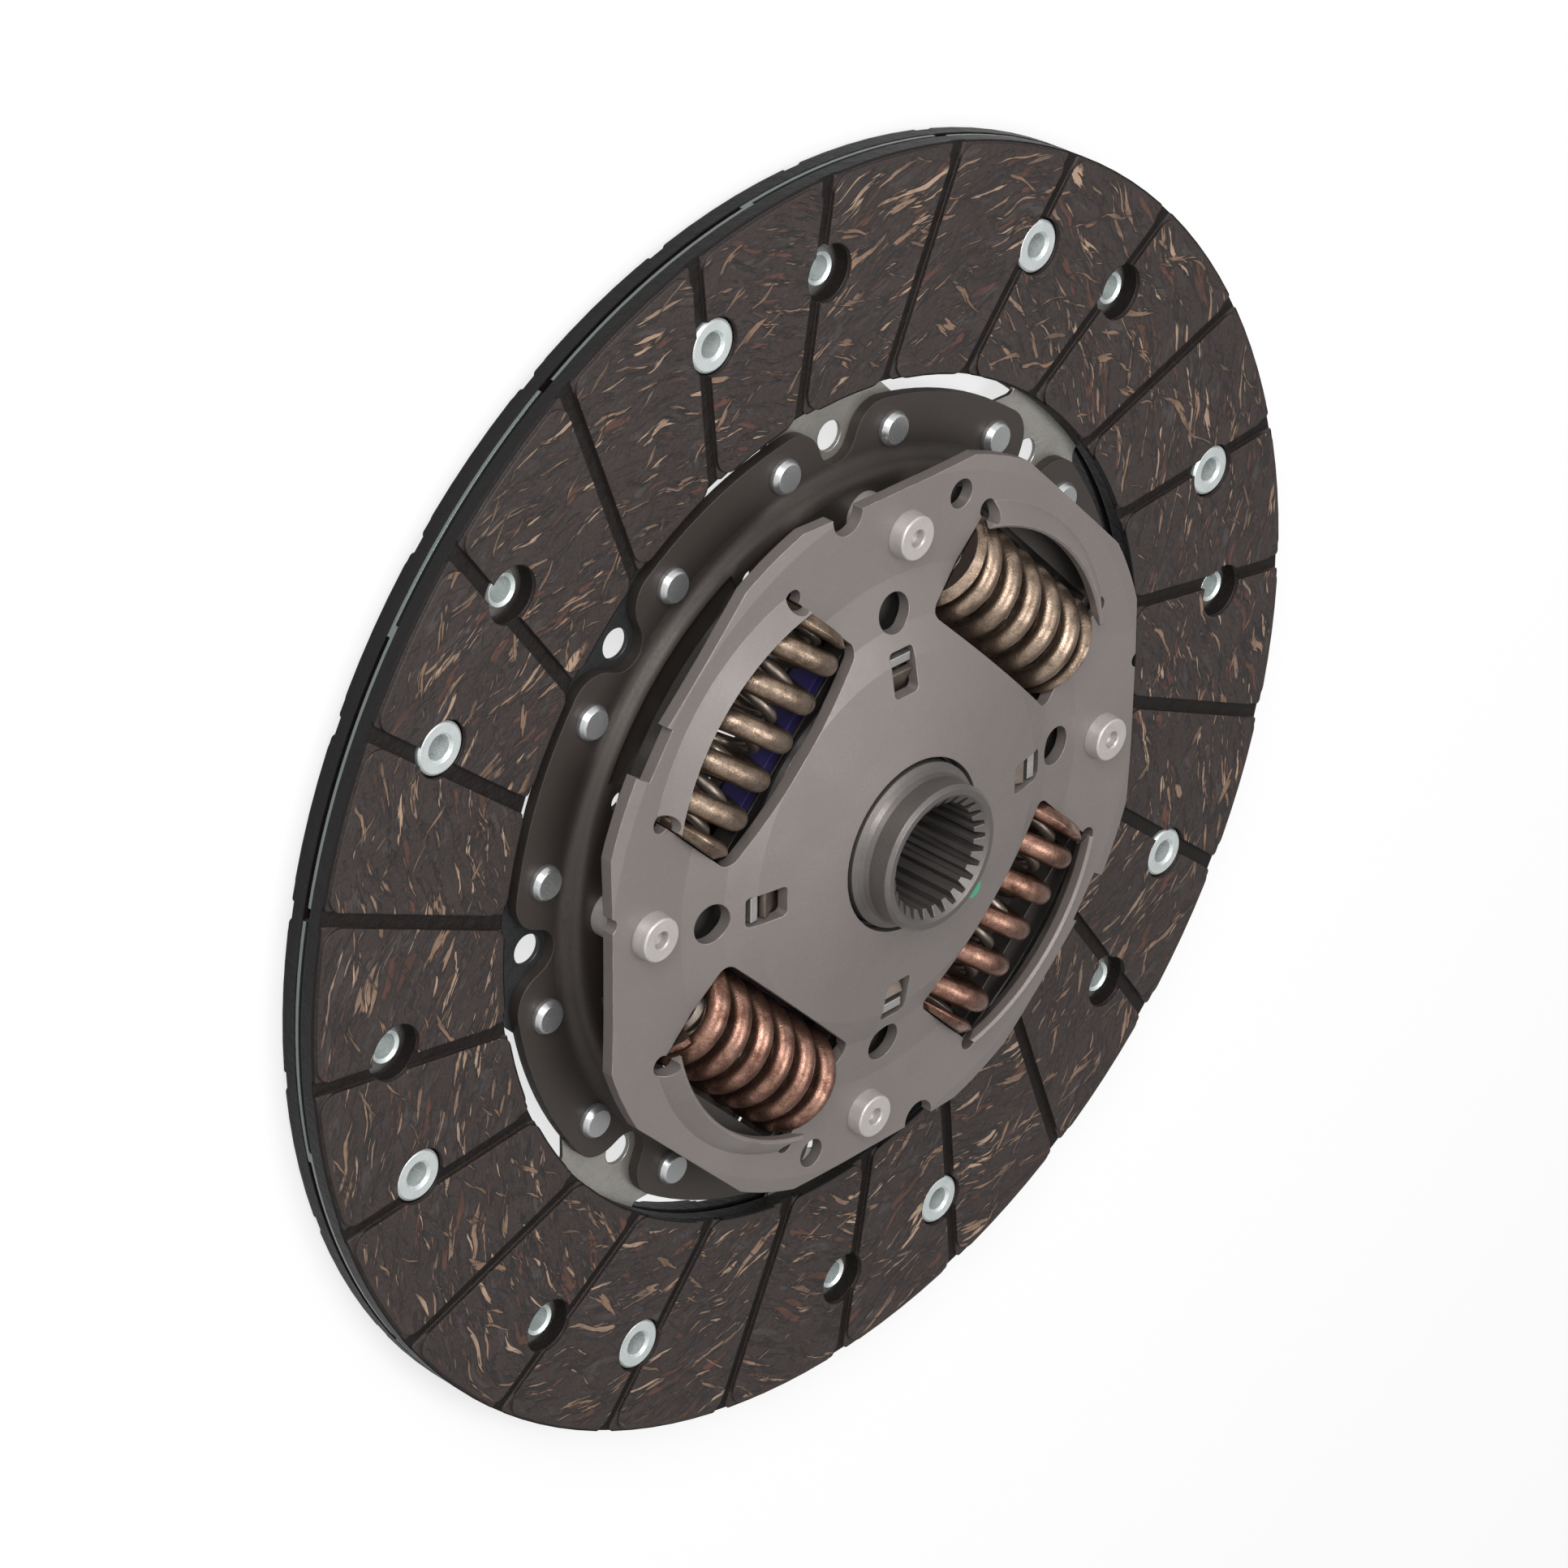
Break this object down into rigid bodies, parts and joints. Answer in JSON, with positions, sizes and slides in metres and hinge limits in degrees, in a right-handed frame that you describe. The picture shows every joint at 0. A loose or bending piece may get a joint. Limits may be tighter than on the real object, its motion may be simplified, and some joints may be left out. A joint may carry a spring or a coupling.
{
  "type": "clutch disc",
  "caption": "Sprung clutch disc: grooved ring facings on cushion segments, riveted damper plates with coil springs in windows, and a splined hub.",
  "frame": {"origin": "on the hub axis, in the plane of the flywheel side friction face that the disc lies on", "axes": "+Z along the hub axis towards the gearbox; the spring windows sit midway between X and Y"},
  "size_m": [0.228, 0.228, 0.0319],
  "materials": {
    "facing": "dry, rough, with fibre flecks",
    "zinc_rivet": "zinc plated, satin",
    "drive_plate": "dark oiled",
    "steel_rivet": "polished",
    "retainer": "satin, fine grain",
    "segment_steel": "brushed",
    "stop_steel": "matt",
    "dark_steel": "dark oiled",
    "hub_steel": "machined, dark oiled",
    "blue_plastic": "moulded, satin",
    "friction_plastic": "moulded, matt",
    "bright_steel": "brushed",
    "spring_steel": "dark oiled",
    "bronze_spring": "shot peened, bronze tint",
    "copper_spring": "shot peened, copper tint"
  },
  "bodies": {
    "plates": {"facing_gearbox_side": "facing", "facing_flywheel_side": "facing", "facing_rivets_gearbox_side": "zinc_rivet", "facing_rivets_flywheel_side": "zinc_rivet", "drive_plate": "drive_plate", "segment_rivets": "steel_rivet", "retainer_plate": "retainer", "support_ring": "bright_steel", "disc_spring": "spring_steel", "centring_bush": "friction_plastic", "friction_ring": "friction_plastic", "cushion_segment_1": "segment_steel", "cushion_segment_2": "segment_steel", "cushion_segment_3": "segment_steel", "cushion_segment_4": "segment_steel", "cushion_segment_5": "segment_steel", "cushion_segment_6": "segment_steel", "cushion_segment_7": "segment_steel", "cushion_segment_8": "segment_steel", "stop_rivet_1": "stop_steel", "stop_rivet_2": "stop_steel", "stop_rivet_3": "stop_steel", "stop_rivet_4": "stop_steel", "outer_spring_1": "bronze_spring", "outer_spring_2": "bronze_spring", "outer_spring_3": "copper_spring", "outer_spring_4": "copper_spring", "inner_spring_1": "spring_steel", "inner_spring_2": "spring_steel", "inner_spring_3": "spring_steel", "inner_spring_4": "spring_steel"},
    "flange": {"hub_flange": "dark_steel", "damper_cage": "blue_plastic", "idle_cover": "dark_steel", "idle_rivets": "steel_rivet", "idle_spring_1": "spring_steel", "idle_spring_2": "spring_steel", "idle_spring_3": "spring_steel", "idle_spring_4": "spring_steel"},
    "hub": {"hub": "hub_steel", "idle_plate": "dark_steel"}
  },
  "joints": [
    {"name": "main_damper", "type": "hinge", "parent": "plates", "child": "flange", "pos_m": [0, 0, 0.01375], "axis": [0, 0, 1], "range_deg": [-9, 9], "stiffness_Nm_per_rad": 600, "deforming": ["outer_spring_1", "outer_spring_2", "outer_spring_3", "outer_spring_4", "inner_spring_1", "inner_spring_2", "inner_spring_3", "inner_spring_4"]},
    {"name": "idle_damper", "type": "hinge", "parent": "flange", "child": "hub", "pos_m": [0, 0, 0.00665], "axis": [0, 0, 1], "range_deg": [-4, 4], "stiffness_Nm_per_rad": 6, "deforming": ["idle_spring_1", "idle_spring_2", "idle_spring_3", "idle_spring_4"]}
  ]
}
